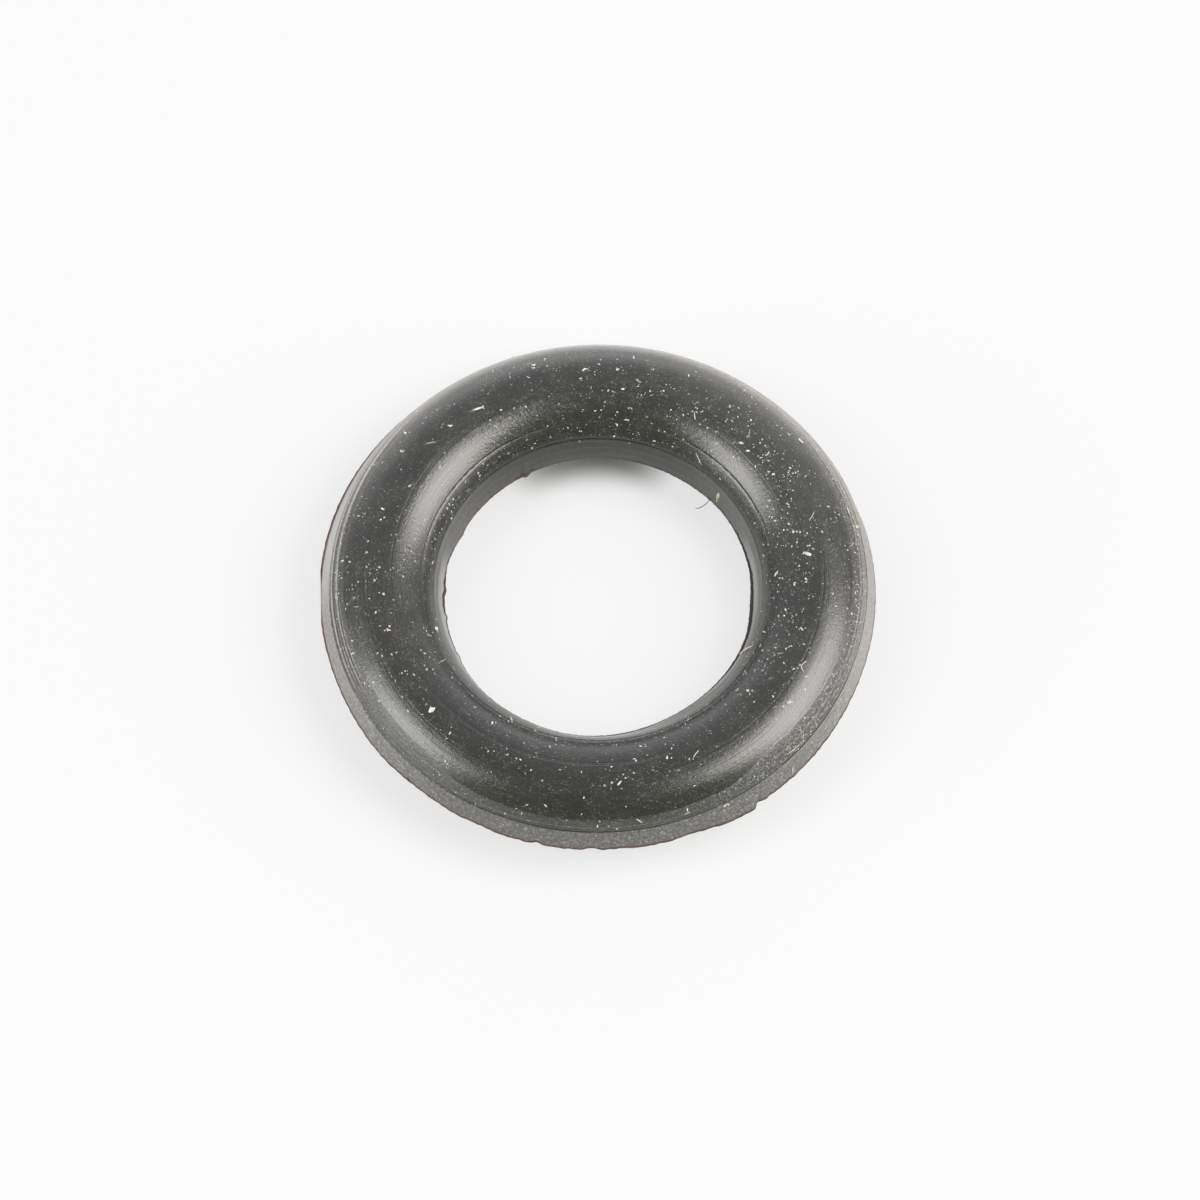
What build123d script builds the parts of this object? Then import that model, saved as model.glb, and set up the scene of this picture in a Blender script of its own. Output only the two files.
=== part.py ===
from build123d import *
import math
import os

# O-ring seal, 7 mm inside diameter by 2.5 mm section, compression moulded in two halves.
# The upper half carries a trimmed, slightly conical land on each side of the section, and the
# parting flash stands out from both lands. The lower half is moulded a little smaller.
# Axis on Z, lowest point of the section on z = 0, all sizes in millimetres.

# ---- driving dimensions ----
inside_dia = 7.0                # nominal inside diameter of the seal
section_dia = 2.5               # cord diameter of the upper mould half
mould_mismatch = 0.08           # how much smaller the lower half's cord radius is

flash_thickness = 0.08          # height of the flash edge at the parting plane
outer_flash = 0.07              # how far the flash stands out past the outside diameter
inner_flash = 0.14              # how far the flash stands into the inside diameter

outer_land_height = 0.52        # top of the trimmed outer land above the parting plane
inner_land_height = 0.49        # top of the trimmed inner land above the parting plane

groove_width = 0.07             # mouth of the witness groove along the outer land's top
groove_depth = 0.04
bore_line_angle = 135.5         # place of the mould line above the bore, from the outer equator
bore_line_width = 0.07
bore_line_depth = 0.03

nick_width = 0.42               # chord of a nick torn out of the flash edge
outer_nick_depth = 0.05
inner_nick_depth = 0.06
outer_nick_azimuths = (238, 243, 256, 268, 274, 288, 292, 305, 328)
inner_nick_azimuths = (28, 41, 74, 125, 143, 165, 205, 232)

remnant_azimuth = 299           # untrimmed scrap of flash left on the outer edge
remnant_width = 0.62
remnant_length = 0.07           # how far it stands out past the flash edge
remnant_thickness = 0.14

# ---- sizes that follow ----
upper_radius = section_dia / 2
lower_radius = upper_radius - mould_mismatch
cord_circle = inside_dia / 2 + upper_radius
parting_z = lower_radius
outer_edge = cord_circle + upper_radius + outer_flash
inner_edge = inside_dia / 2 - inner_flash
flash_top = flash_thickness / 2
flash_base = -flash_thickness / 2


def on_circle(angle, radius):
    """Point of the section at this angle: 0 is the outer equator, 90 the crown, 180 the bore."""
    turn = math.radians(angle)
    return (cord_circle + radius * math.cos(turn), radius * math.sin(turn))


def angle_at(height, radius):
    """Angle of the outer side of the section at this height above the parting plane."""
    return math.degrees(math.asin(height / radius))


def spread(width):
    """Angle that a mouth of this width takes up on the upper half's circle."""
    return math.degrees(width / upper_radius)


def groove(centre_angle, width, depth):
    """Rounded groove across the section circle, from its outer lip to its inner lip."""
    half = spread(width) / 2
    return ThreePointArc(
        on_circle(centre_angle - half, upper_radius),
        on_circle(centre_angle, upper_radius - depth),
        on_circle(centre_angle + half, upper_radius),
    )


def crown(start_angle, end_angle):
    """Plain stretch of the upper half between two angles."""
    return ThreePointArc(
        on_circle(start_angle, upper_radius),
        on_circle((start_angle + end_angle) / 2, upper_radius),
        on_circle(end_angle, upper_radius),
    )


def section():
    """Closed outline of the cord, drawn counter-clockwise from the outer flash edge."""
    land_top = angle_at(outer_land_height, upper_radius)
    groove_end = land_top + spread(groove_width)
    line_start = bore_line_angle - spread(bore_line_width) / 2
    line_end = bore_line_angle + spread(bore_line_width) / 2
    inner_land = 180 - angle_at(inner_land_height, upper_radius)
    lower_side = angle_at(flash_top, lower_radius)
    outer_foot = on_circle(-lower_side, lower_radius)
    inner_foot = on_circle(180 + lower_side, lower_radius)
    edges = [
        Line((outer_edge, flash_top), on_circle(land_top, upper_radius)),
        groove(land_top + spread(groove_width) / 2, groove_width, groove_depth),
        crown(groove_end, line_start),
        groove(bore_line_angle, bore_line_width, bore_line_depth),
        crown(line_end, inner_land),
        Line(on_circle(inner_land, upper_radius), (inner_edge, flash_top)),
        Line((inner_edge, flash_top), (inner_edge, flash_base)),
        Line((inner_edge, flash_base), inner_foot),
        ThreePointArc(inner_foot, on_circle(270, lower_radius), outer_foot),
        Line(outer_foot, (outer_edge, flash_base)),
        Line((outer_edge, flash_base), (outer_edge, flash_top)),
    ]
    return make_face(Wire(edges))


def cord():
    """The ring itself: the section turned about the axis, standing on its lower half."""
    upright = Plane.XZ * section()
    return Pos(0, 0, parting_z) * revolve(upright, Axis.Z, 360)


def nick(azimuth, edge, depth, outward):
    """Round-bottomed cutter that bites this deep into a flash edge."""
    radius = (nick_width**2 / 4 + depth**2) / (2 * depth)
    reach = edge + (radius - depth) * outward
    tall = 2 * min(outer_land_height, inner_land_height)
    return Rot(0, 0, azimuth) * Pos(reach, 0, parting_z) * Cylinder(radius, tall)


def remnant():
    """Scrap of flash, wider at its root, seated in the land behind the flash edge."""
    root = cord_circle + upper_radius - outer_flash
    tip = outer_edge + remnant_length
    half = remnant_width / 2
    outline = Polyline(
        (root, -half),
        (outer_edge, -half),
        (tip, -half * 0.45),
        (tip, half * 0.45),
        (outer_edge, half),
        (root, half),
        close=True,
    )
    scrap = extrude(make_face(outline), remnant_thickness / 2, both=True)
    return Rot(0, 0, remnant_azimuth) * Pos(0, 0, parting_z) * scrap


def o_ring():
    """Ring with its flash edge nicked and its scrap of flash left on."""
    ring = cord()
    for azimuth in outer_nick_azimuths:
        ring -= nick(azimuth, outer_edge, outer_nick_depth, 1)
    for azimuth in inner_nick_azimuths:
        ring -= nick(azimuth, inner_edge, inner_nick_depth, -1)
    return ring + remnant()


os.makedirs("parts", exist_ok=True)
export_step(o_ring(), "parts/o_ring.step")
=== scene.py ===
import bpy
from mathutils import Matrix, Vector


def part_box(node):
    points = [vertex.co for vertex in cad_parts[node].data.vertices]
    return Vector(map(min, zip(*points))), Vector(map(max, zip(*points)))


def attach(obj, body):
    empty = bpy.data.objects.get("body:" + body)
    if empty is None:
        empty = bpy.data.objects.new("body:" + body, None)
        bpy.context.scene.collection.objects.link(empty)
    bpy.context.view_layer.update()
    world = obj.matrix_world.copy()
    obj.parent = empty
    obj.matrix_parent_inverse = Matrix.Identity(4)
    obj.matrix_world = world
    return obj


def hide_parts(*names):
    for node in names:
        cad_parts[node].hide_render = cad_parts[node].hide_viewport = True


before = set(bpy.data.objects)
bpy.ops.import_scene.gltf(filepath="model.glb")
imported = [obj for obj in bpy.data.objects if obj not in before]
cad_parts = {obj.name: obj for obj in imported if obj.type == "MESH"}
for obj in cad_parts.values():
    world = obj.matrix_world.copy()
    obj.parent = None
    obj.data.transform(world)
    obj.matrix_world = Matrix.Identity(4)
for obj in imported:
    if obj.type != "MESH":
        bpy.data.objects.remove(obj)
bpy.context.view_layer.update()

import bpy
import math
import numpy as np
from mathutils import Matrix, Vector

# ---- The rubber ring ----
# A small o-ring of black, carbon-filled rubber, pressed in a two-part mould. The flash at the
# parting plane was trimmed off by a knife, which left a pale matte land on each side of the cord
# and a thin, torn edge at the parting plane.

MM = 0.001                                         # in metres; the sizes below are in millimetres
low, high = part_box("o_ring")
edge_radius = (high.x - low.x) / 2 / MM            # outer flash edge
crown_height = (high.z - low.z) / MM
upper_cord = 1.25                                  # cord radius of the upper mould half
lower_cord = crown_height - upper_cord             # cord radius of the lower mould half
parting = lower_cord                               # height of the parting plane
flash_reach = 0.07                                 # how far the outer flash stands out of the cord
ring = edge_radius - flash_reach - upper_cord      # radius of the cord's centre circle
crown_relief = 0.016                               # how far the crown lies under the CAD top
inner_radius = 3.36                                # inner flash edge
flash_half = 0.018                                 # half the thickness of the inner flash
rim_share = 0.999                                  # edge of the lower half, as a share of its cord
rim_drop = 0.05                                    # and how far it lies under the parting plane
edge_under = (0.010, 0.028)                        # how far in and down the outer edge's underside is
groove_depth = 0.016
bore_line_depth = 0.008
bore_lip_height = 0.002

# turns are degrees up the section: 0 at the outer equator, 90 at the crown, 180 at the bore
land_top_turn = 24.5
groove_width = 2.4
bore_line_turn = 135.5
bore_line_width = 2.4
bore_lip_width = 3.0
inner_land_turn = 156.9
crown_reach = 34                                   # the relief dies away over this many degrees
columns = 1200                                     # of the ring's grid, all the way round


def ramp(start, end, count):
    """Evenly spaced values from start to end, without the end."""
    return np.linspace(start, end, count, endpoint=False)


def dip(turn, centre, width, depth):
    """Rounded groove: depth times a raised cosine over its width, in degrees of turn."""
    near = np.clip(np.abs(turn - centre) / (width / 2), 0, 1)
    return depth * (0.5 + 0.5 * np.cos(np.pi * near))


def upper_arc(turn):
    """Points of the upper half: the cord circle, less the grooves and the relief at the crown."""
    away = (turn - 90) / crown_reach
    radius = upper_cord - crown_relief * np.exp(-away * away)
    radius = radius - dip(turn, land_top_turn + groove_width / 2, groove_width * 1.3, groove_depth)
    radius = radius - dip(turn, bore_line_turn, bore_line_width, bore_line_depth)
    radius = radius + dip(turn, bore_line_turn + bore_lip_width, bore_lip_width, bore_lip_height)
    radians = np.radians(turn)
    return np.stack([radius * np.cos(radians), radius * np.sin(radians)], 1)


def lower_arc(turn):
    """Points of the lower half: its own, smaller circle."""
    radians = np.radians(turn)
    return lower_cord * np.stack([np.cos(radians), np.sin(radians)], 1)


def land(foot, top, shares, roundness):
    """Trimmed face from foot to top: it rises evenly with the share, and its width follows the
    share to a power, so that it is upright at the foot and leans over towards the top."""
    shares = np.array(shares)
    out = foot[0] + (top[0] - foot[0]) * shares ** roundness
    return np.stack([out, foot[1] + (top[1] - foot[1]) * shares], 1)


def section():
    """Closed outline of the cord as rows of (out, up) from its centre. With it come each row's
    share of the outer edge's unevenness, of the inner land's, of the inner flash edge's, how torn
    the rubber is there, and the rows where the surface turns sharply."""
    land_top = upper_arc(np.array([land_top_turn]))[0]
    land_end = upper_arc(np.array([inner_land_turn]))[0]
    # the rows lie closest together over the groove and the bore line
    turns = np.concatenate([
        ramp(land_top_turn, land_top_turn + groove_width * 1.3, 6),
        ramp(land_top_turn + groove_width * 1.3, 133.0, 24),
        ramp(133.0, 140.2, 9),
        ramp(140.2, inner_land_turn, 4),
    ])
    outer_shares = np.array([0, 0.04, 0.08, 0.13, 0.20, 0.30, 0.45, 0.62, 0.80])
    inner_shares = np.array([1, 0.85, 0.68, 0.50, 0.33, 0.18, 0.07, 0])
    outer_uneven = np.clip(1.35 - 3.2 * outer_shares, 0, 1)
    outer_torn = np.clip(1.9 - 11 * outer_shares, 0, 1)
    inner_uneven = (1 - inner_shares) ** 1.5
    edge = (edge_radius - ring, 0)
    foot = (inner_radius - ring, flash_half)
    lower_start = (-lower_cord * rim_share, -rim_drop)
    lower_end = (lower_cord * rim_share, -rim_drop)
    underside = (edge[0] - edge_under[0], -edge_under[1])
    parts = [
        (land(edge, land_top, outer_shares, 1.2), outer_uneven, 0, 0, outer_torn),
        (upper_arc(turns), 0, 0, 0, 0),
        (land(foot, land_end, inner_shares, 1.25), 0, inner_uneven, 0, 0),
        (np.array([(foot[0], flash_half * 0.8), (foot[0], -flash_half)]), 0, 0, 1, 1),
        (np.array([lower_start]), 0, 0, 0, 0),
        (lower_arc(ramp(184, 358, 15)), 0, 0, 0, 0),
        (np.array([lower_end, underside]), (0, 1), 0, 0, (0, 1)),
    ]
    row_shares = [np.concatenate([np.broadcast_to(part[k], len(part[0])) for part in parts])
                  for k in (1, 2, 3, 4)]
    ends = np.cumsum([len(part[0]) for part in parts])
    sharp = (0, ends[1], ends[2] - 1, ends[2], ends[3] - 1, ends[3], ends[5] - 1)
    return np.concatenate([part[0] for part in parts]), row_shares, sharp


def bump_at(azimuth, centre, half_width, size):
    """Smooth hump of this size, a raised cosine of azimuth, in degrees either side of centre."""
    off = (azimuth - centre + 180) % 360 - 180
    near = np.clip(np.abs(off) / half_width, 0, 1)
    return size * (0.5 + 0.5 * np.cos(np.pi * near))


def ragged(azimuth, waves, seed):
    """Sum of sines round the ring with random phases, from -1 to 1 about."""
    draw = np.random.default_rng(seed)
    total = np.zeros_like(azimuth)
    for wave in waves:
        total += np.sin(np.radians(azimuth) * wave + draw.uniform(0, 2 * np.pi)) * draw.uniform(0.5, 1)
    return total / len(waves)


def outer_edge_offset(azimuth):
    """How far the outer flash edge stands out past its nominal radius, in millimetres."""
    rise = bump_at(azimuth, 155, 34, 0.012)
    rise = rise + np.interp(azimuth, (292.6, 296.0, 302.2, 302.7, 303.8, 305.9, 306.7, 309.0),
                             (0, 0.052, 0.074, 0.058, -0.028, 0.014, -0.006, 0))
    for centre, half, depth in ((230, 14, 0.034), (243, 5, 0.030), (256, 1.6, 0.045), (267.5, 2.6, 0.052),
                                (273, 4, 0.026), (288, 5, 0.034), (336, 26, 0.020),
                                (20, 7, 0.020), (200, 20, 0.010)):
        rise = rise - bump_at(azimuth, centre, half, depth)
    front = np.clip(-np.sin(np.radians(azimuth)) + 0.35, 0, 1)
    teeth = ragged(azimuth, (61, 97, 131, 173, 211), 3) * (0.006 + 0.013 * front)
    return rise + teeth


def thin_fin_offset(azimuth):
    """How far a thin torn fin stands out beyond the foot of the outer land at the left, in
    millimetres."""
    teeth = ragged(azimuth, (83, 127, 167), 29) * bump_at(azimuth, 160, 36, 0.010)
    return bump_at(azimuth, 162, 42, 0.052) + teeth


def inner_edge_offset(azimuth):
    """How far the inner flash edge stands away from its nominal radius, in millimetres."""
    rise = bump_at(azimuth, 35, 22, 0.026) + bump_at(azimuth, 218, 24, 0.024)
    rise = rise + bump_at(azimuth, 165, 8, 0.03)
    for centre, half, depth in ((300, 46, 0.070), (356, 16, 0.040), (117, 2.2, 0.05), (176, 3, 0.035),
                                (187, 2, 0.030), (152, 5, 0.03), (204, 3, 0.025)):
        rise = rise - bump_at(azimuth, centre, half, depth)
    teeth = ragged(azimuth, (41, 67, 89, 113, 149, 191), 11)
    return rise + teeth * 0.012


def inner_flash_width(azimuth):
    """Width of the flat flash left beyond the inner land, in millimetres: widest at the right."""
    width = 0.016 + bump_at(azimuth, 350, 42, 0.058) + bump_at(azimuth, 178, 13, 0.035)
    width = width + bump_at(azimuth, 270, 34, 0.030) + bump_at(azimuth, 118, 6, 0.035)
    return width + ragged(azimuth, (23, 37, 59, 83), 17) * 0.010


def ring_mesh(name):
    """Grid of azimuth by section row: each row's circle is set out by its shares of the edges'
    unevenness, and the grid is closed both ways."""
    points, (outer, foot, flash, torn), sharp = section()
    rows = len(points)
    azimuth = np.linspace(0, 360, columns, endpoint=False)
    inner_edge = inner_edge_offset(azimuth)[:, None]
    out = ring + points[:, 0][None, :] + outer[None, :] * outer_edge_offset(azimuth)[:, None]
    out = out + (outer * torn)[None, :] * thin_fin_offset(azimuth)[:, None]
    inner_foot = inner_edge + inner_flash_width(azimuth)[:, None]
    out = out + foot[None, :] * inner_foot + flash[None, :] * inner_edge
    up = parting + np.broadcast_to(points[:, 1][None, :], out.shape)
    radians = np.radians(azimuth)[:, None]
    x = np.clip(out * np.cos(radians), low.x / MM, high.x / MM)
    y = np.clip(out * np.sin(radians), low.y / MM, high.y / MM)
    corners = np.stack([x, y, up], 2) * MM
    along, across = np.meshgrid(np.arange(columns), np.arange(rows), indexing="ij")
    onward = (along + 1) % columns
    above = (across + 1) % rows
    faces = np.stack([along * rows + across, onward * rows + across,
                      onward * rows + above, along * rows + above], 2)
    mesh = bpy.data.meshes.new(name)
    mesh.from_pydata(corners.reshape(-1, 3).tolist(), [], faces.reshape(-1, 4).tolist())
    mesh.shade_smooth()
    ends = np.empty(len(mesh.edges) * 2, dtype=np.int32)
    mesh.edges.foreach_get("vertices", ends)
    row = ends.reshape(-1, 2) % rows
    crisp = (row[:, 0] == row[:, 1]) & np.isin(row[:, 0], sharp)
    mesh.attributes.new("sharp_edge", "BOOLEAN", "EDGE").data.foreach_set("value", crisp)
    tears = np.tile(torn, columns).astype(np.float32)
    mesh.attributes.new("torn", "FLOAT", "POINT").data.foreach_set("value", tears)
    return mesh


class Flow:
    """One output of a shader tree. Arithmetic on it adds Math nodes; add() adds any other node."""

    def __init__(self, tree, socket=None):
        self.tree = tree
        self.socket = socket

    def add(self, kind, settings=None, inputs=None, out=0):
        """New node of this kind: settings are set first, then each input's value or link."""
        node = self.tree.nodes.new(kind)
        for key, value in (settings or {}).items():
            if key == "stops":
                ramp_stops(node.color_ramp, value)
            else:
                setattr(node, key, value)
        for key, value in (inputs or {}).items():
            if isinstance(value, Flow):
                self.tree.links.new(value.socket, node.inputs[key])
            else:
                node.inputs[key].default_value = value
        return Flow(self.tree, node.outputs[out])

    def math(self, operation, *others):
        """This value and up to two others through one Math node."""
        values = dict(enumerate((self,) + others))
        return self.add("ShaderNodeMath", {"operation": operation}, values)

    def __add__(self, other):
        return self.math("ADD", other)

    def __radd__(self, other):
        return self.math("ADD", other)

    def __sub__(self, other):
        return self.math("SUBTRACT", other)

    def __rsub__(self, other):
        return self.add("ShaderNodeMath", {"operation": "SUBTRACT"}, {0: other, 1: self})

    def __mul__(self, other):
        return self.math("MULTIPLY", other)

    def __rmul__(self, other):
        return self.math("MULTIPLY", other)

    def __truediv__(self, other):
        return self.math("DIVIDE", other)

    def clamp(self):
        """This value held between 0 and 1."""
        return self.math("MAXIMUM", 0.0).math("MINIMUM", 1.0)


def ramp_stops(color_ramp, stops):
    """Sets a colour ramp to these (position, grey) stops."""
    while len(color_ramp.elements) < len(stops):
        color_ramp.elements.new(0.5)
    for element, (position, grey) in zip(color_ramp.elements, stops):
        element.position = position
        element.color = (grey, grey, grey, 1)


def new_material(name):
    """Empty node material, its starting Flow and its surface shader."""
    material = bpy.data.materials.new(name)
    material.use_nodes = True
    tree = material.node_tree
    tree.nodes.clear()
    shader = tree.nodes.new("ShaderNodeBsdfPrincipled")
    output = tree.nodes.new("ShaderNodeOutputMaterial")
    tree.links.new(shader.outputs[0], output.inputs["Surface"])
    return material, Flow(tree), shader


def mix_colour(share, first, second):
    """Colour that goes from first to second as share goes from 0 to 1."""
    return share.add("ShaderNodeMix", {"data_type": "RGBA"}, {0: share, 6: first, 7: second}, 2)


def step(value, start, end):
    """Smooth rise of value from 0 at start to 1 at end."""
    settings = {"interpolation_type": "SMOOTHSTEP"}
    return value.add("ShaderNodeMapRange", settings, {0: value, 1: start, 2: end, 3: 0.0, 4: 1.0})


def line(turn, centre, half_width):
    """1 on a line of the section at this turn, falling smoothly to 0 at half_width either side."""
    off = (turn - centre).math("ABSOLUTE")
    return 1.0 - step(off, 0.0, half_width)


def stretch(heading, centre, half_length, fade):
    """1 over a stretch of the ring about this azimuth, in degrees, and 0 past its fading ends."""
    angle = math.radians(centre)
    middle = (math.cos(angle), math.sin(angle), 0)
    settings = {"operation": "DOT_PRODUCT"}
    toward = heading.add("ShaderNodeVectorMath", settings, {0: heading, 1: middle}, 1)
    start = math.cos(math.radians(min(half_length + fade, 180)))
    return step(toward, start, math.cos(math.radians(max(half_length - fade, 0))))


def band(turn, start, end, fade):
    """1 between two turns of the section, fading to 0 on both sides."""
    return step(turn, start - fade, start + fade) * (1.0 - step(turn, end - fade, end + fade))


def scored(turn, first, last, marks):
    """Profile across the section between two turns, from a ramp: 0.5 where the skin is plain, and
    to 1 on a ridge or 0 on a score. A mark is its turn, its half width and its rise, -1 to 1."""
    stops = [(0.0, 0.5)]
    for centre, half_width, rise in marks:
        place = (centre - first) / (last - first)
        spread = half_width / (last - first)
        start = max(place - spread, stops[-1][0])
        stops += [(start, 0.5), (place, 0.5 + rise / 2), (place + spread, 0.5)]
    share = (turn - first) * (1 / (last - first))
    return share.add("ShaderNodeValToRGB", {"stops": stops}, {0: share}) - 0.5


# Fine lines left round the moulded face by the turned mould. Each group lies on one stretch of
# the ring: azimuth of its middle, half length and fade, the turns that it spans, and its marks.
turning_lines = (
    (164, 25, 8, 20, 47, ((22.0, 1.4, 0.5), (26.8, 2.4, -1.0), (30.6, 1.5, 0.9), (34.2, 2.2, -1.0),
                          (39.3, 2.8, 1.0), (44.6, 2.0, -0.7))),
    (193, 9, 5, 20, 47, ((26.0, 2.2, -0.9), (30.2, 1.8, 0.9), (33.0, 1.1, -1.0), (35.3, 0.9, 0.6),
                         (37.2, 0.9, -0.6), (39.4, 1.1, 1.0), (41.3, 0.9, -1.0), (43.2, 1.0, 0.9))),
    (216, 18, 9, 22, 45, ((29.6, 0.6, 0.2), (34.4, 1.2, 0.25), (36.8, 0.5, -0.3), (38.4, 0.8, 0.35),
                          (41.4, 1.2, -0.3))),
    (262, 24, 9, 23, 41, ((25.2, 0.9, -1.0), (26.7, 0.4, 0.4), (28.2, 0.7, -1.0), (30.2, 0.7, 0.6),
                          (31.6, 0.4, -0.4))),
    (352, 36, 14, 20, 45, ((21.6, 1.3, 0.6), (25.0, 1.0, -0.9), (27.2, 0.7, 0.5), (29.2, 0.5, -0.6),
                           (33.4, 0.9, 0.6), (35.3, 0.6, -0.6), (37.9, 1.3, 0.9), (40.4, 0.6, -0.6))),
    (50, 50, 16, 24, 45, ((27.4, 1.6, -0.5), (31.6, 1.6, 0.3), (34.6, 1.2, -0.5), (37.9, 1.5, 0.9),
                          (41.2, 1.2, -0.6))),
    (207, 30, 8, 58, 84, ((62.3, 0.9, -0.35), (66.0, 0.6, 0.15), (69.3, 0.7, -0.25), (73.0, 0.9, -0.4),
                          (75.0, 0.7, 0.15))),
    (325, 38, 9, 58, 84, ((60.4, 0.4, -0.1), (66.0, 0.5, -0.2), (70.4, 0.6, -0.1), (78.0, 0.9, 0.12),
                          (81.4, 1.4, -0.55))),
    (252, 32, 9, 93, 103, ((96.4, 0.8, 0.3), (99.6, 1.2, -0.8))),
    (142, 38, 10, 98, 143, ((100.8, 1.6, -0.4), (135.4, 0.8, -1.0), (138.6, 1.2, 0.15), (141.4, 0.8, 0.1))),
    (36, 24, 8, 82, 140, ((84.2, 0.9, -0.4), (99.5, 1.6, -0.4), (112.0, 0.7, -0.4), (135.4, 0.8, -1.0))),
    (88, 62, 20, 98, 140, ((103.0, 1.6, -0.4), (135.4, 0.6, -0.6))),
    (258, 58, 12, 128, 144, ((131.7, 0.9, 0.3), (134.3, 0.8, -0.5), (139.6, 0.9, 0.2), (142.2, 0.8, -0.3))),
    (98, 95, 20, 151, 176, ((155.8, 2.8, -0.8), (159.6, 0.7, 0.2), (164.6, 0.6, -0.5), (166.8, 0.6, 0.3),
                            (171.6, 0.5, -0.4))),
)


def rubber():
    """Black rubber: satin on the moulded crown, matte, pale and grained on the trimmed lands, with painted
    light and shade in its colour.
    """
    material, flow, shader = new_material("rubber_black")
    place = flow.add("ShaderNodeTexCoord", out=3)
    millimetres = flow.add("ShaderNodeVectorMath", {"operation": "SCALE"}, {0: place, 3: 1 / MM})
    x, y, z = [flow.add("ShaderNodeSeparateXYZ", inputs={0: millimetres}, out=k) for k in range(3)]
    out = (x * x + y * y).math("SQRT")
    across = x / out
    along = y / out
    heading = flow.add("ShaderNodeCombineXYZ", None, {0: across, 1: along, 2: 0.0})
    turn = (z - parting).math("ARCTAN2", out - ring) * (180 / math.pi)
    torn = flow.add("ShaderNodeAttribute", {"attribute_name": "torn"}, out=2)

    def noise(scale, detail, rough):
        """Even noise with this many cells to the millimetre."""
        return flow.add("ShaderNodeTexNoise", None,
                        {"Vector": millimetres, "Scale": scale, "Detail": detail, "Roughness": rough})

    def streaks(length, width, detail):
        """Noise drawn out round the ring: patches of this length by this width in millimetres."""
        cells_round = ring / length
        cells_up = upper_cord * math.pi / 180 / width
        drawn = flow.add("ShaderNodeCombineXYZ", None,
                         {0: across * cells_round, 1: along * cells_round, 2: turn * cells_up})
        return flow.add("ShaderNodeTexNoise", None, {"Vector": drawn, "Scale": 1.0, "Detail": detail})

    fine = noise(30.0, 1.0, 0.6)
    grain = noise(13.0, 1.0, 0.6)
    cloud = noise(2.4, 3.0, 0.6)
    grit_cells = noise(15.0, 3.0, 0.85)
    brushed = streaks(1.6, 0.034, 1.0)

    # where each finish lies, and each band of painted light or shade
    frayed = turn - (grain - 0.5) * stretch(heading, 216, 26, 10) * 9.0
    outer_land_top = stretch(heading, 172, 34, 10) * 1.8 + (land_top_turn - 0.2)
    outer_land = band(frayed, -8.0, outer_land_top, 0.5)
    front = stretch(heading, 268.5, 36, 7)
    front_shade = stretch(heading, 270, 48, 30)
    rear = stretch(heading, 90, 45, 30)
    inner_land = step(turn, inner_land_turn - 0.6, inner_land_turn + 1.6)
    fin_run = stretch(heading, 346, 42, 9) + stretch(heading, 184, 20, 8)
    fin_shade = step(turn.math("ABSOLUTE"), 177.4, 178.6) * fin_run
    lower_half = 1.0 - step(z - parting, -0.06, -0.02)
    scuff_end = 50.0 - front * 10.0 + (cloud - 0.5) * 3.0
    scuffed = step(turn, land_top_turn, land_top_turn + 1.0) * (1.0 - step(turn - scuff_end, -2.5, 0.8))
    rough_zone = stretch(heading, 262, 72, 14)
    scratched = stretch(heading, 312, 24, 12)
    # painted sheen over a real grey bloom: the rear rim is painted pale where it shows a grazing reflection
    side_bloom_and_sheen = (1.0 - step(turn, 26.0, 42.0)) * stretch(heading, 80, 104, 16) * 0.60
    rear_bloom_and_sheen = (1.0 - step(turn, 38.5, 56.0)) * 0.78 + (1.0 - step(turn, 50.0, 80.0)) * 0.17
    bloom_and_sheen = (side_bloom_and_sheen + rear_bloom_and_sheen * stretch(heading, 90, 52, 30)).clamp() * (1.0 - outer_land * 0.45)
    front_lip = step(turn, 139.0, 147.0) * stretch(heading, 270, 40, 20)
    side_rim_highlight = step(turn, 163.0, 173.0) * (stretch(heading, 346, 30, 10) + stretch(heading, 198, 30, 10))
    left_land_sheen = stretch(heading, 154, 19, 13)
    haze = stretch(heading, 38, 26, 16) * band(turn, 70.0, 112.0, 8.0)

    # marks of the mould and of the knife
    marks = 0.0
    for azimuth, half_length, fade, first, last, lines in turning_lines:
        reach = stretch(heading, azimuth, half_length, fade)
        marks = scored(turn, first, last, lines).math("MULTIPLY_ADD", reach, marks)
    marks = marks * (step(grain * 0.6 + brushed * 0.4, 0.40, 0.56) * 1.3 + 0.55)
    height = marks * 0.008 + fine * 0.0042 + grain * 0.0034 + brushed * 0.0016
    tooth = outer_land * 0.006 + scuffed * (rough_zone * 0.006 + scratched * 0.008)
    height = height + (fine + grain) * tooth
    bump = flow.add("ShaderNodeBump", None, {"Strength": 1.0, "Distance": MM, "Height": height})

    # the plain moulded skin, with its pale specks and a thin haze at the rear right
    body = mix_colour(step(cloud, 0.36, 0.62), (0.028, 0.0285, 0.0280, 1), (0.039, 0.039, 0.0375, 1))
    # painted shade: the skin is darker towards the front, where it reflects the dark front of the room
    body = mix_colour(front_shade * 0.45, body, (0.015, 0.0155, 0.0145, 1))
    speck = step(fine * 0.7 + grain * 0.3, 0.555, 0.66) * (step(cloud, 0.35, 0.65) * 0.5 + 0.25)
    body = mix_colour(speck.clamp(), body, (0.20, 0.195, 0.18, 1))
    body = mix_colour(haze * 0.05, body, (0.50, 0.50, 0.49, 1))
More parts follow.
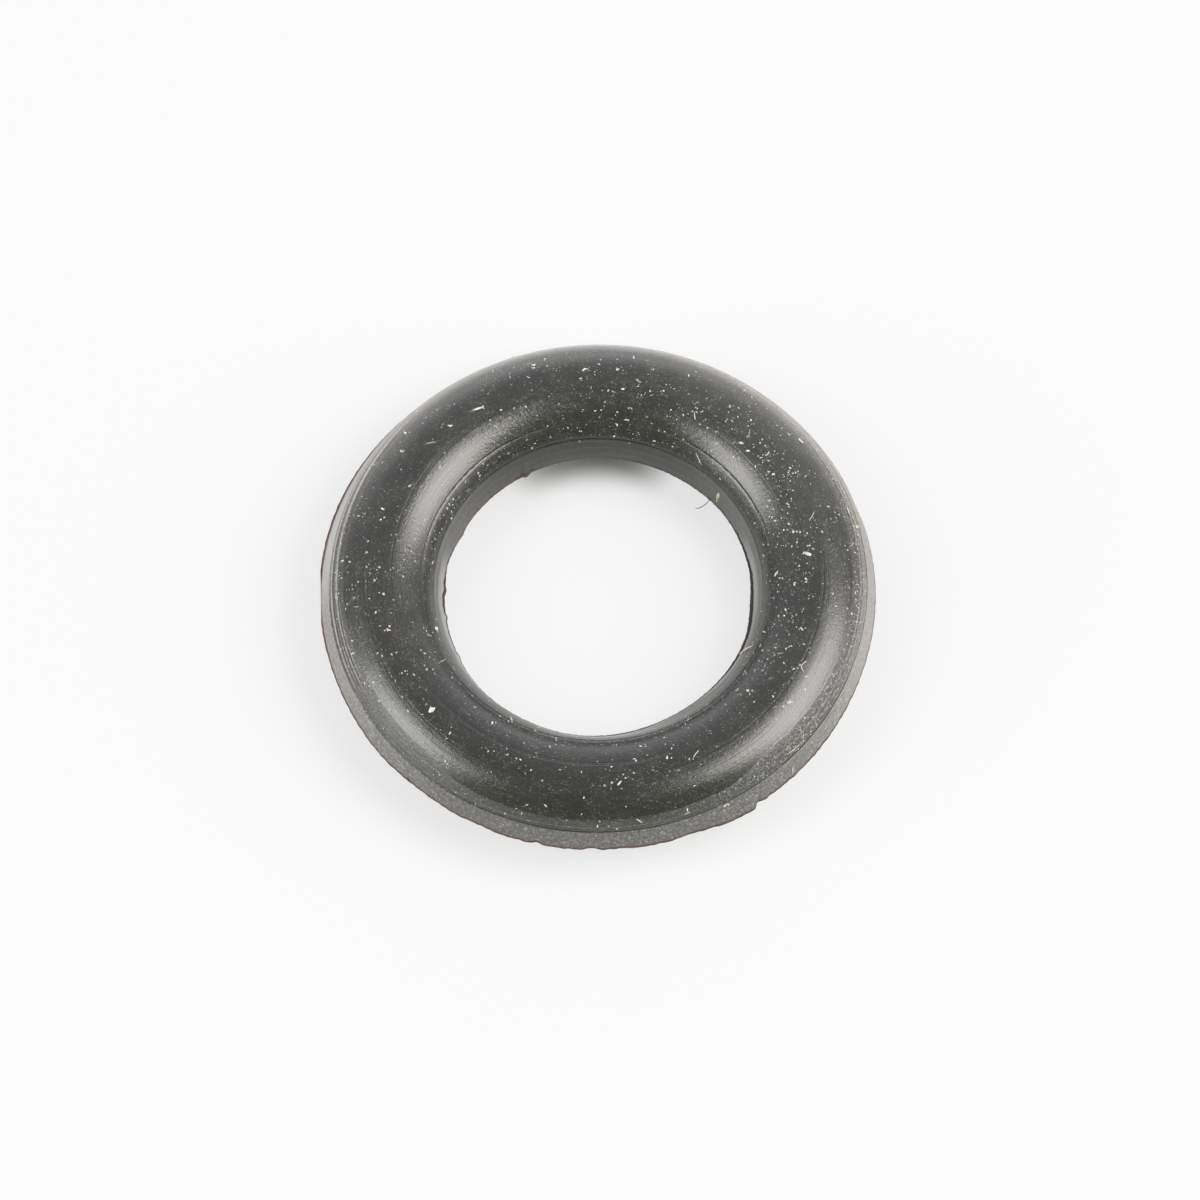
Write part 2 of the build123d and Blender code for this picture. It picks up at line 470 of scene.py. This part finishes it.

    # the scuffs above the outer land, and the land, in grey grit, darkest at the front; on the land this is
    # painted shade at the front and a painted grazing reflection at the sides
    scuff_marks = step(grit_cells, 0.50, 0.63)
    scuff_amount = scuffed * (scuff_marks * (rough_zone * 0.30 + scratched * 0.35 + 0.30) + 0.05)
    body = mix_colour(scuff_amount * (1.0 - front * 0.3), body, (0.225, 0.216, 0.210, 1))
    mottle = step(grit_cells, 0.38, 0.64)
    # painted light and shade: the land's grit is darker at the front and paler at the sides, for their
    # grazing reflection
    land_dark = mix_colour(front_shade, (0.245, 0.233, 0.227, 1), (0.080, 0.077, 0.076, 1))
    land_light = mix_colour(front_shade, (0.405, 0.386, 0.376, 1), (0.205, 0.198, 0.194, 1))
    body = mix_colour(outer_land, body, mix_colour(mottle, land_dark, land_light))
    body = mix_colour(outer_land * step(grit_cells, 0.585, 0.66) * 0.75, body, (0.56, 0.545, 0.53, 1))
    # painted sheen: the outer land is painted near white at the left, where it shows a grazing reflection
    body = mix_colour(left_land_sheen * outer_land * 0.65, body, (0.80, 0.80, 0.80, 1))

    # the grey bloom, with a painted grazing reflection at the rear rim; the inner land, painted paler at
    # the sides, with a painted highlight on its rim; and the lower half, painted paler at the front and
    # sides than in its shade at the rear
    bloom_and_sheen_colour = mix_colour(step(turn, 25.0, 34.0), (0.440, 0.402, 0.394, 1), (0.405, 0.379, 0.369, 1))
    body = mix_colour(bloom_and_sheen, body, bloom_and_sheen_colour)
    # the inner land is painted paler away from the rear, standing in for the grazing reflection at the
    # sides of the bore
    bore_face = mix_colour(rear, (0.205, 0.204, 0.204, 1), (0.084, 0.084, 0.085, 1))
    body = mix_colour(inner_land * (mottle * 0.35 + 0.55), body, bore_face)
    # painted highlight: a pale line along the inner land's rim at the right and the left
    body = mix_colour(side_rim_highlight * 0.70, body, (0.54, 0.54, 0.54, 1))
    # painted light and shade: the lower half is grey, paler at the front and sides where it catches light
    # off the floor, darker in its shade at the rear
    underside = mix_colour(rear, (0.165, 0.164, 0.163, 1), (0.088, 0.087, 0.086, 1))
    body = mix_colour(lower_half, body, underside)

    # the turned lines, in painted light and shade: a ridge is painted pale as if lit and a score dark as if
    # shaded
    left_lines = stretch(heading, 170, 34, 8)
    ridge_highlight_share = (bloom_and_sheen + left_lines * 0.55).clamp()
    ridge_highlight = mix_colour(ridge_highlight_share, (0.19, 0.184, 0.176, 1), (0.62, 0.56, 0.545, 1))
    body = mix_colour((marks * 1.6).clamp(), body, ridge_highlight)
    body = mix_colour((marks * -2.0).clamp() * (0.9 - bloom_and_sheen * 0.35), body, (0.009, 0.009, 0.009, 1))

    # the worn band at the right, and painted shade in the groove over the land, on the inner fin and along
    # the torn outer edge, which is painted dark red
    worn = band(turn, 27.0, 46.0, 1.5) * stretch(heading, 8, 64, 12)
    body = mix_colour(worn * step(grit_cells, 0.56, 0.66) * 0.75, body, (0.58, 0.56, 0.54, 1))
    body = mix_colour(worn * (1.0 - step(grit_cells, 0.34, 0.44)) * 0.65, body, (0.035, 0.034, 0.033, 1))
    # painted shade: the groove over the land, darkened at the front
    groove_shade = line(turn, land_top_turn + groove_width / 2, 1.1) * stretch(heading, 292, 54, 10)
    groove_shade = groove_shade * (grain * 1.6 - 0.15).clamp()
    body = mix_colour(groove_shade, body, (0.010, 0.010, 0.010, 1))
    # painted shade on the inner fin at the right and the left
    body = mix_colour(fin_shade, body, (0.014, 0.014, 0.014, 1))
    # painted shade: a dark red line along the torn outer edge, widest at the left
    torn_edge_shade = mix_colour(step(cloud, 0.40, 0.60), (0.050, 0.014, 0.014, 1), (0.140, 0.036, 0.034, 1))
    outer_edge_shade = band(turn, -10.0, 1.8, 0.6) * stretch(heading, 236, 96, 10)
    left_edge_shade = stretch(heading, 164, 40, 14)
    torn_edge_shade_share = torn * (left_edge_shade * 1.6 + 0.7) + outer_edge_shade * 0.8
    body = mix_colour((torn_edge_shade_share * (1.0 - lower_half * 0.5)).clamp(), body, torn_edge_shade)

    roughness = 0.24 + step(brushed, 0.35, 0.7) * 0.06 + outer_land * 0.26 + inner_land * 0.10
    roughness = roughness + front_lip * 0.14 + scuffed * 0.18 + speck * 0.15 + torn * 0.3
    flow.tree.links.new(body.socket, shader.inputs["Base Color"])
    flow.tree.links.new(roughness.clamp().socket, shader.inputs["Roughness"])
    flow.tree.links.new(bump.socket, shader.inputs["Normal"])
    shader.inputs["IOR"].default_value = 1.95
    shader.inputs["Sheen Weight"].default_value = 0.5
    shader.inputs["Sheen Roughness"].default_value = 0.25
    return material


o_ring = bpy.data.objects.new("rubber_ring", ring_mesh("rubber_ring"))
bpy.context.scene.collection.objects.link(o_ring)
o_ring.data.materials.append(rubber())
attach(o_ring, "root")
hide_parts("o_ring")


# ---- Dust on the ring ----
# Grains of pale dust that cling to the rubber, in an even film and in clusters. They lie thickest
# above the outer land at the right and the left, and on the crown at the right. Each is pressed
# slightly into the skin.

film_count = 2350
cluster_count = 64
grain_smallest = 0.006                             # radius, in millimetres
grain_largest = 0.022
grain_tries = 24000                                # draws, of which the ones on dusty skin are kept
dustiest = 1.3                                     # thickness at which every draw is kept
dust_turns = (27, 157)                             # turns of the section that dust lies between
cluster_spread = (2.0, 4.5)                        # scatter of a cluster, in azimuth and in turn
top_gap = 0.0006                                   # kept free below the top of the part

# a drift or a bare patch: how much it adds or takes, its azimuth and reach, its turn and reach
dust_drifts = (
    (0.14, 60, 130, 95, 24), (0.62, 25, 50, 103, 11), (0.22, 70, 60, 90, 34), (0.20, 195, 40, 78, 40),
    (0.75, 148, 26, 147, 8), (0.25, 55, 60, 144, 10), (1.10, 2, 36, 42, 11), (0.95, 172, 32, 43, 11),
    (0.5, 32, 22, 43, 9), (0.55, 348, 30, 112, 16), (0.30, 355, 30, 132, 12), (0.25, 265, 24, 84, 9),
)
bare_patches = (
    (0.8, 130, 34, 96, 18), (0.6, 275, 40, 143, 12), (0.6, 336, 24, 84, 11), (0.75, 285, 45, 60, 20),
)


def skin(azimuth, turn, lift=0.0):
    """Point of the upper half at this azimuth and turn, lift millimetres off it, in millimetres."""
    arc = upper_arc(turn)
    radians = np.radians(azimuth)
    slope = np.radians(turn)
    out = ring + arc[:, 0] + lift * np.cos(slope)
    up = parting + arc[:, 1] + lift * np.sin(slope)
    return np.stack([out * np.cos(radians), out * np.sin(radians), up], 1)


def skin_frame(azimuth, turn):
    """Unit vectors at that point: round the ring, up the section towards the bore, and outward."""
    radians = np.radians(azimuth)
    slope = np.radians(turn)
    round_it = np.stack([-np.sin(radians), np.cos(radians), 0 * radians], 1)
    rise = np.stack([-np.sin(slope) * np.cos(radians), -np.sin(slope) * np.sin(radians), np.cos(slope)], 1)
    outward = np.stack([np.cos(slope) * np.cos(radians), np.cos(slope) * np.sin(radians), np.sin(slope)], 1)
    return round_it, rise, outward


def bell(azimuth, turn, centre, reach, turn_centre, turn_reach):
    """Bell curve of azimuth about centre, times one of turn about its own centre."""
    off = (azimuth - centre + 180) % 360 - 180
    return np.exp(-(off / reach) ** 2 - ((turn - turn_centre) / turn_reach) ** 2)


def dust_thickness(azimuth, turn):
    """How much dust lies at a place, from 0 to about 1: an even film, with drifts on top of it,
    thinned out over the bare patches."""
    film = 0.22
    for size, centre, reach, turn_centre, turn_reach in dust_drifts:
        film = film + size * bell(azimuth, turn, centre, reach, turn_centre, turn_reach)
    for share, centre, reach, turn_centre, turn_reach in bare_patches:
        film = film * (1 - share * bell(azimuth, turn, centre, reach, turn_centre, turn_reach))
    return film


def octahedra(centres, first, second, third, sizes, jitter):
    """Six-cornered grains: a corner each way along three directions, at uneven lengths."""
    count = len(centres)
    arms = np.stack([first, -first, second, -second, third, -third], 1)
    corners = centres[:, None, :] + arms * sizes[:, None, None] * jitter[:, :, None]
    pattern = np.array([(0, 2, 4), (2, 1, 4), (1, 3, 4), (3, 0, 4),
                        (2, 0, 5), (1, 2, 5), (3, 1, 5), (0, 3, 5)])
    faces = (np.arange(count) * 6)[:, None, None] + pattern[None, :, :]
    return corners.reshape(-1, 3), faces.reshape(-1, 3)


def put(name, points, faces, material):
    """New piece on the ring from points in millimetres, kept below the top of the part."""
    points[:, 2] = np.minimum(points[:, 2], high.z / MM - top_gap)
    mesh = bpy.data.meshes.new(name)
    mesh.from_pydata((points * MM).tolist(), [], faces.tolist())
    mesh.materials.append(material)
    item = bpy.data.objects.new(name, mesh)
    bpy.context.scene.collection.objects.link(item)
    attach(item, "root")


def grit(name, pale, deep, cells):
    """Matte, powdery grit: its colour drifts between two tints from grain to grain."""
    material, flow, shader = new_material(name)
    place = flow.add("ShaderNodeTexCoord", out=3)
    millimetres = flow.add("ShaderNodeVectorMath", {"operation": "SCALE"}, {0: place, 3: 1 / MM})
    tint = flow.add("ShaderNodeTexNoise", None, {"Vector": millimetres, "Scale": cells, "Detail": 1.0})
    colour = mix_colour(step(tint, 0.38, 0.60), deep, pale)
    flow.tree.links.new(colour.socket, shader.inputs["Base Color"])
    shader.inputs["Roughness"].default_value = 0.85
    shader.inputs["Specular IOR Level"].default_value = 0.3
    return material


def dust():
    """Scatter of grains: a draw is kept where it falls under the dust's thickness there, and some
    of the kept grains gather a cluster of small ones round them."""
    draw = np.random.default_rng(41)
    azimuth = draw.uniform(0, 360, grain_tries)
    turn = draw.uniform(*dust_turns, grain_tries)
    kept = draw.uniform(0, dustiest, grain_tries) < dust_thickness(azimuth, turn)
    azimuth = azimuth[kept][:film_count + cluster_count]
    turn = turn[kept][:film_count + cluster_count]
    members = draw.integers(3, 12, cluster_count)
    home = np.repeat(np.arange(film_count, len(azimuth)), members)
    around = azimuth[home] + draw.normal(0, cluster_spread[0], len(home))
    beside = turn[home] + draw.normal(0, cluster_spread[1], len(home))
    azimuth = np.concatenate([azimuth, around])
    turn = np.concatenate([turn, np.clip(beside, *dust_turns)])
    count = len(azimuth)
    share = draw.uniform(0, 1, count) ** 3.0
    sizes = grain_smallest + (grain_largest - grain_smallest) * share
    round_it, rise, outward = skin_frame(azimuth, turn)
    spin = draw.uniform(0, 2 * np.pi, count)[:, None]
    first = round_it * np.cos(spin) + rise * np.sin(spin)
    second = rise * np.cos(spin) - round_it * np.sin(spin)
    jitter = draw.uniform(0.6, 1.25, (count, 6))
    jitter[:, :2] = jitter[:, :2] * draw.uniform(1.0, 2.3, (count, 1))
    jitter[:, 4:] = jitter[:, 4:] * 0.6
    centres = skin(azimuth, turn) + outward * (sizes * 0.12)[:, None]
    points, faces = octahedra(centres, first, second, outward, sizes, jitter)
    put("dust", points, faces, grit("dust_pale", (0.96, 0.94, 0.89, 1), (0.60, 0.57, 0.52, 1), 8.0))


dust()


# ---- Flecks of lint and skin ----
# The larger crumbs on the ring: chips of paper and skin, pressed flat on the rubber, most of them
# white or cream and a few of them tan.

# azimuth, turn, length, width in millimetres, and the angle of its length off the ring's run
white_chips = (
    (4.4, 97.0, 0.19, 0.11, 62), (221.0, 84.6, 0.20, 0.12, 78), (195.4, 148.5, 0.25, 0.10, -62),
    (43.9, 104.5, 0.13, 0.06, 24), (16.0, 38.5, 0.17, 0.045, 0), (0.6, 133.5, 0.18, 0.045, -52),
    (131.0, 86.8, 0.12, 0.055, -48), (151.6, 95.6, 0.10, 0.05, -30), (139.1, 53.6, 0.13, 0.05, 74),
    (40.8, 105.6, 0.12, 0.05, 40), (160.4, 80.6, 0.10, 0.05, 80), (92.4, 81.2, 0.12, 0.05, 36),
    (174.1, 47.2, 0.12, 0.045, 84), (35.4, 51.2, 0.18, 0.08, 14), (32.0, 103.4, 0.09, 0.045, 30),
    (36.5, 92.0, 0.12, 0.03, -64), (356.9, 99.6, 0.08, 0.055, 40), (81.8, 102.0, 0.12, 0.045, 8),
    (174.9, 57.0, 0.08, 0.05, 60), (30.6, 101.0, 0.09, 0.055, 84), (83.8, 80.6, 0.08, 0.07, 20),
    (272.4, 77.4, 0.08, 0.06, 60), (235.9, 115.5, 0.14, 0.04, -66), (143.9, 66.4, 0.12, 0.045, 80),
    (197.1, 46.6, 0.12, 0.04, 82), (288.5, 35.0, 0.13, 0.04, 84), (296.8, 22.5, 0.14, 0.06, 18),
    (268.8, 33.0, 0.10, 0.03, 80), (265.6, 62.4, 0.07, 0.04, 84), (205.2, 116.0, 0.08, 0.045, 60),
    (228.8, 79.0, 0.09, 0.035, -80), (320.8, 86.0, 0.08, 0.035, 70), (163.0, 56.2, 0.08, 0.035, 84),
    (66.4, 68.0, 0.12, 0.035, -60), (80.4, 61.6, 0.13, 0.035, -74), (104.2, 64.6, 0.12, 0.07, 20),
    (16.8, 64.2, 0.09, 0.04, 84), (29.8, 83.0, 0.07, 0.06, 30), (46.6, 79.0, 0.06, 0.05, 10),
    (339.8, 137.0, 0.14, 0.03, 70), (184.8, 92.6, 0.07, 0.05, 20), (95.4, 159.0, 0.10, 0.035, 86),
    (77.8, 159.6, 0.09, 0.03, 86), (122.4, 88.8, 0.34, 0.05, -14), (69.4, 149.0, 0.08, 0.035, 10),
    (9.4, 148.4, 0.09, 0.05, 20), (12.8, 144.4, 0.08, 0.035, 78), (21.6, 145.6, 0.09, 0.04, 66),
    (297.4, 21.0, 0.07, 0.05, 60),
)
tan_chips = (
    (318.2, 111.4, 0.12, 0.07, 74), (12.6, 30.2, 0.22, 0.11, -66), (121.0, 90.0, 0.09, 0.05, 20),
    (79.6, 132.8, 0.13, 0.05, 0), (316.4, 97.0, 0.05, 0.04, 0), (274.2, 76.6, 0.14, 0.045, 44),
    (236.6, 118.4, 0.10, 0.03, -70), (91.6, 80.4, 0.06, 0.04, 0), (195.3, 89.6, 0.13, 0.05, 52),
    (194.4, 92.0, 0.07, 0.045, 10), (330.6, 97.2, 0.08, 0.04, 60), (341.8, 95.0, 0.12, 0.035, 54),
    (318.9, 107.2, 0.06, 0.05, 0),
)
chip_thickest = 0.016                              # half the thickness, in millimetres


def chips(name, table, seed, material):
    """Flat crumbs: a ball of two rows of six corners and two poles, drawn out along the crumb's
    length and width, at uneven radii."""
    azimuth, turn, length, width, angle = np.array(table, dtype=float).T
    round_it, rise, outward = skin_frame(azimuth, turn)
    spin = np.radians(angle)[:, None]
    first = round_it * np.cos(spin) + rise * np.sin(spin)
    second = rise * np.cos(spin) - round_it * np.sin(spin)
    draw = np.random.default_rng(seed)
    about = np.radians(np.arange(6) * 60.0)
    rows = [(0, 0, -1)] + [(0.87 * np.cos(a), 0.87 * np.sin(a), -0.4) for a in about]
    rows += [(np.cos(a + 0.5), np.sin(a + 0.5), 0.35) for a in about] + [(0.15, 0.1, 1)]
    ball = np.array(rows)[None, :, :] * draw.uniform(0.62, 1.15, (len(azimuth), 14, 1))
    thick = np.minimum(width * 0.30, chip_thickest)
    points = (skin(azimuth, turn) + outward * (thick * 0.4)[:, None])[:, None, :]
    points = points + first[:, None, :] * ball[:, :, 0:1] * (length / 2)[:, None, None]
    points = points + second[:, None, :] * ball[:, :, 1:2] * (width / 2)[:, None, None]
    points = points + outward[:, None, :] * ball[:, :, 2:3] * thick[:, None, None]
    pattern = [(0, 1 + (k + 1) % 6, 1 + k) for k in range(6)]
    pattern += [(1 + k, 1 + (k + 1) % 6, 7 + k) for k in range(6)]
    pattern += [(1 + (k + 1) % 6, 7 + (k + 1) % 6, 7 + k) for k in range(6)]
    pattern += [(7 + k, 7 + (k + 1) % 6, 13) for k in range(6)]
    faces = (np.arange(len(azimuth)) * 14)[:, None, None] + np.array(pattern)[None, :, :]
    put(name, points.reshape(-1, 3), faces.reshape(-1, 3), material)


chips("flecks_white", white_chips, 5,
      grit("lint_white", (0.98, 0.97, 0.93, 1), (0.66, 0.64, 0.60, 1), 11.0))
chips("flecks_tan", tan_chips, 6,
      grit("lint_tan", (0.84, 0.76, 0.64, 1), (0.64, 0.51, 0.40, 1), 9.0))


# ---- Fibres ----
# Short cotton fibres stuck to the rubber, a rust-brown fleck on the outer edge, and two dark
# hairs, one of which hangs over the bore. Each is a round strand that thins out at both ends.

# azimuth and turn of the start, of the end, sideways bow in degrees of turn, lift off the cord
# circle at the start and at the end, and radius, in millimetres
white_fibres = (
    (334.7, 146.6, 333.0, 171.5, 2.5, 0.012, 0.088, 0.022),
    (330.8, 74.4, 332.6, 79.8, 2.2, 0.006, 0.006, 0.009),
    (332.4, 79.6, 333.8, 77.2, 0.8, 0.006, 0.006, 0.009),
    (238.0, 145.0, 240.4, 132.4, 0.8, 0.008, 0.006, 0.013),
    (313.2, 5.0, 313.8, 13.0, 0.2, 0.050, 0.020, 0.014),
    (50.6, 149.4, 54.2, 141.2, 0.5, 0.006, 0.006, 0.012),
    (43.4, 95.0, 45.0, 87.0, 0.6, 0.005, 0.005, 0.007),
    (208.0, 140.0, 209.6, 124.0, 1.0, 0.006, 0.006, 0.006),
    (323.0, 126.6, 324.4, 134.0, 0.6, 0.006, 0.006, 0.007),
    (106.8, 20.0, 108.0, 30.0, 0.0, 0.010, 0.010, 0.008),
    (319.0, 36.0, 320.2, 46.0, 0.4, 0.006, 0.006, 0.006),
    (186.6, 60.0, 187.0, 66.0, 0.2, 0.005, 0.005, 0.006),
)
cream_fibres = (
    (293.8, 83.0, 296.2, 88.2, 0.6, 0.006, 0.006, 0.010),
    (14.0, 88.6, 16.2, 80.6, -0.8, 0.006, 0.006, 0.011),
    (59.0, 111.6, 60.4, 104.6, 0.3, 0.006, 0.006, 0.011),
    (136.9, 90.0, 139.2, 82.8, -0.6, 0.006, 0.006, 0.009),
    (313.4, 33.4, 318.6, 31.2, -1.2, 0.006, 0.010, 0.009),
    (318.4, 28.4, 319.8, 36.8, 0.8, 0.006, 0.006, 0.010),
    (277.2, 37.8, 278.4, 32.4, 0.5, 0.006, 0.006, 0.013),
    (40.2, 162.6, 39.0, 187.0, 0.0, 0.035, 0.050, 0.046),
    (287.6, 30.8, 289.0, 31.4, 0.3, 0.006, 0.006, 0.008),
)
dark_hairs = (
    (42.4, 177.6, 44.1, 180.0, 6.0, 0.085, 0.495, 0.0095),
    (357.0, 118.0, 359.4, 106.0, 1.0, 0.005, 0.005, 0.0050),
)
rust_fleck = ((225.2, 4.4, 225.9, 2.6, 0.0, 0.050, 0.060, 0.024),)


def fibres(name, table, material):
    """Round strands: a ring of five corners carried along a line over the skin, which bows
    sideways by a parabola; its radius falls to a fifth at both ends, and each end is closed."""
    steps = 9
    sides = 5
    data = np.array(table, dtype=float)[:, None, :]
    along = np.linspace(0, 1, steps)[None, :]
    bow = 4 * along * (1 - along)
    azimuth = data[:, :, 0] * (1 - along) + data[:, :, 2] * along
    turn = data[:, :, 1] * (1 - along) + data[:, :, 3] * along + data[:, :, 4] * bow
    lift = data[:, :, 5] * (1 - along) + data[:, :, 6] * along
    centre = skin(azimuth.ravel(), turn.ravel(), lift.ravel()).reshape(len(table), steps, 3)
    outward = skin_frame(azimuth.ravel(), turn.ravel())[2].reshape(centre.shape)
    run = np.gradient(centre, axis=1)
    run = run / np.linalg.norm(run, axis=2, keepdims=True)
    sideways = np.cross(outward, run)
    sideways = sideways / np.linalg.norm(sideways, axis=2, keepdims=True)
    above = np.cross(run, sideways)
    radius = data[:, :, 7] * (0.2 + 0.8 * np.sqrt(np.sin(np.pi * along).clip(0, 1)))
    about = np.arange(sides) * 2 * np.pi / sides
    hoops = sideways[:, :, None, :] * np.cos(about)[:, None]
    hoops = hoops + above[:, :, None, :] * np.sin(about)[:, None]
    points = centre[:, :, None, :] + hoops * radius[:, :, None, None]
    first = (np.arange(len(table)) * steps * sides)[:, None, None, None]
    row = (np.arange(steps - 1) * sides)[None, :, None, None]
    here = np.arange(sides)[None, None, :, None]
    onward = (here + 1) % sides
    walls = np.concatenate([here, onward, onward + sides, here, onward + sides, here + sides], 3)
    walls = walls + first + row
    caps = [(0, 2, 1), (0, 3, 2), (0, 4, 3)]
    end = (steps - 1) * sides
    caps += [(end, end + 1, end + 2), (end, end + 2, end + 3), (end, end + 3, end + 4)]
    caps = (np.arange(len(table)) * steps * sides)[:, None, None] + np.array(caps)[None, :, :]
    faces = np.concatenate([walls.reshape(-1, 3), caps.reshape(-1, 3)])
    put(name, points.reshape(-1, 3), faces, material)


fibres("fibres_white", white_fibres,
       grit("cotton_white", (0.94, 0.93, 0.89, 1), (0.72, 0.69, 0.62, 1), 6.0))
fibres("fibres_cream", cream_fibres,
       grit("cotton_cream", (0.90, 0.85, 0.72, 1), (0.70, 0.61, 0.46, 1), 6.0))
fibres("fleck_rust", rust_fleck,
       grit("lint_rust", (0.42, 0.15, 0.07, 1), (0.24, 0.08, 0.04, 1), 9.0))
fibres("hair_dark", dark_hairs,
       grit("hair_brown", (0.10, 0.075, 0.06, 1), (0.05, 0.04, 0.035, 1), 6.0))


# ---- The floor ----
# A plain sheet of white card that the ring lies on. It isn't part of the object.

floor_half = 0.45                                  # half its side, in metres
floor_corners = [(-floor_half, -floor_half, 0), (floor_half, -floor_half, 0),
                 (floor_half, floor_half, 0), (-floor_half, floor_half, 0)]
floor_mesh = bpy.data.meshes.new("floor")
floor_mesh.from_pydata(floor_corners, [], [(0, 1, 2, 3)])
floor = bpy.data.objects.new("floor", floor_mesh)
bpy.context.scene.collection.objects.link(floor)
card = bpy.data.materials.new("white_card")
card.use_nodes = True
card.node_tree.nodes.clear()
card_flow = Flow(card.node_tree)

# to the camera the card is a nearly even white; its glow is cut back in a band about the foot of the ring
# and more where it runs in under the rear, which paints the ring's shadow deeper there; the steps are radii
# in millimetres
spot = card_flow.add("ShaderNodeTexCoord", out=3)
from_axis = card_flow.add("ShaderNodeVectorMath", {"operation": "LENGTH"}, {0: spot}, 1) * (1 / MM)
leaning = card_flow.add("ShaderNodeVectorMath", {"operation": "DOT_PRODUCT"},
                        {0: spot, 1: (-0.03, 0.9995, 0)}, 1)
rearward = leaning * (1 / MM) / from_axis
beneath = step(from_axis, 3.05, 3.8) * (1.0 - step(from_axis, 4.4, 5.3)) * step(rearward, 0.86, 0.985)
beside = step(from_axis, 2.4, 3.6) * (1.0 - step(from_axis, 5.6, 7.4))
paper = card_flow.add("ShaderNodeBsdfDiffuse", None, {"Color": (0.785, 0.80, 0.825, 1)})
lit = card_flow.add("ShaderNodeEmission", None, {"Color": (1.0, 1.0, 1.0, 1), "Strength": 1.0})
seen = card_flow.add("ShaderNodeLightPath", out=0)
whiteness = seen * (0.77 - beside * 0.10 - beneath * 0.62)
shown = card_flow.add("ShaderNodeMixShader", None, {0: whiteness, 1: paper, 2: lit})
card_out = card.node_tree.nodes.new("ShaderNodeOutputMaterial")
card.node_tree.links.new(shown.socket, card_out.inputs["Surface"])
floor.data.materials.append(card)


# ---- The light ----
# Two soft panels on each side, a high one and a low one, in a pale grey room.

panel_distance = 0.45                              # metres from the ring's centre


def panel(name, azimuth, zenith, width, height, radiance, tint):
    """Square-on rectangular lamp aimed at the ring from this azimuth and angle off the vertical."""
    lamp = bpy.data.lights.new(name, "AREA")
    lamp.shape = "RECTANGLE"
    lamp.size = width
    lamp.size_y = height
    lamp.energy = radiance * math.pi * width * height
    lamp.color = tint
    item = bpy.data.objects.new(name, lamp)
    a = math.radians(azimuth)
    b = math.radians(zenith)
    toward = Vector((math.sin(b) * math.cos(a), math.sin(b) * math.sin(a), math.cos(b)))
    item.location = toward * panel_distance
    item.rotation_mode = "QUATERNION"
    item.rotation_quaternion = toward.to_track_quat("Z", "Y")
    bpy.context.scene.collection.objects.link(item)


panel("panel_right", -8, 45, 0.34, 0.34, 4.8, (1.0, 0.972, 0.930))
panel("panel_right_low", -9, 76, 0.30, 0.18, 1.6, (1.0, 0.975, 0.94))
panel("panel_left", 195, 55, 0.24, 0.31, 4.1, (1.0, 0.985, 0.96))
panel("panel_left_low", 196, 80, 0.32, 0.13, 2.3, (1.0, 0.985, 0.96))

# the room is brightest at the back near the floor, and to the camera it is plain white
world = bpy.data.worlds.new("room")
bpy.context.scene.world = world
world.use_nodes = True
world.node_tree.nodes.clear()
sky = Flow(world.node_tree)
toward = sky.add("ShaderNodeTexCoord", out=0)
sky_y = sky.add("ShaderNodeSeparateXYZ", inputs={0: toward}, out=1)
sky_z = sky.add("ShaderNodeSeparateXYZ", inputs={0: toward}, out=2)
backness = step(sky_y, -0.3, 0.9)
farness = step(sky_y, 0.5, 1.0)
lowness = 1.0 - step(sky_z, 0.0, 0.75)
glow = 0.17 + backness * 0.28 + lowness * farness * 0.75 + lowness * 0.06
room_colour = mix_colour(step(sky_y, -0.9, 0.1), (0.90, 1.0, 0.62, 1), (0.985, 1.0, 1.015, 1))
room_light = sky.add("ShaderNodeBackground", None, {"Color": room_colour, "Strength": glow})
room_white = sky.add("ShaderNodeBackground", None, {"Color": (0.97, 0.97, 0.97, 1), "Strength": 1.0})
room_seen = sky.add("ShaderNodeLightPath", out=0)
room_shown = sky.add("ShaderNodeMixShader", None, {0: room_seen, 1: room_light, 2: room_white})
sky_out = world.node_tree.nodes.new("ShaderNodeOutputWorld")
world.node_tree.links.new(room_shown.socket, sky_out.inputs["Surface"])


# ---- The camera ----
# A long lens, 65 degrees above the floor, turned a little about its own axis.

lens = bpy.data.cameras.new("camera")
lens.lens = 480
lens.sensor_width = 36
lens.clip_start = 0.01
lens.clip_end = 5
camera = bpy.data.objects.new("camera", lens)
bpy.context.scene.collection.objects.link(camera)
elevation = math.radians(65)
roll = math.radians(1.25)
distance = 0.350                                   # metres from the point aimed at
aim_right = 0.000037                               # how far that point is off the ring's centre
aim_down = 0.000068
back = Vector((0, -math.cos(elevation), math.sin(elevation)))
level_up = Vector((0, math.sin(elevation), math.cos(elevation)))
side = Vector((1, 0, 0)) * math.cos(roll) - level_up * math.sin(roll)
up = Vector((1, 0, 0)) * math.sin(roll) + level_up * math.cos(roll)
aim = Vector((0, 0, parting * MM)) + side * aim_right - up * aim_down
pose = Matrix((side, up, back)).transposed().to_4x4()
pose.translation = aim + back * distance
camera.matrix_world = pose
bpy.context.scene.camera = camera
bpy.context.scene.view_settings.view_transform = "Standard"
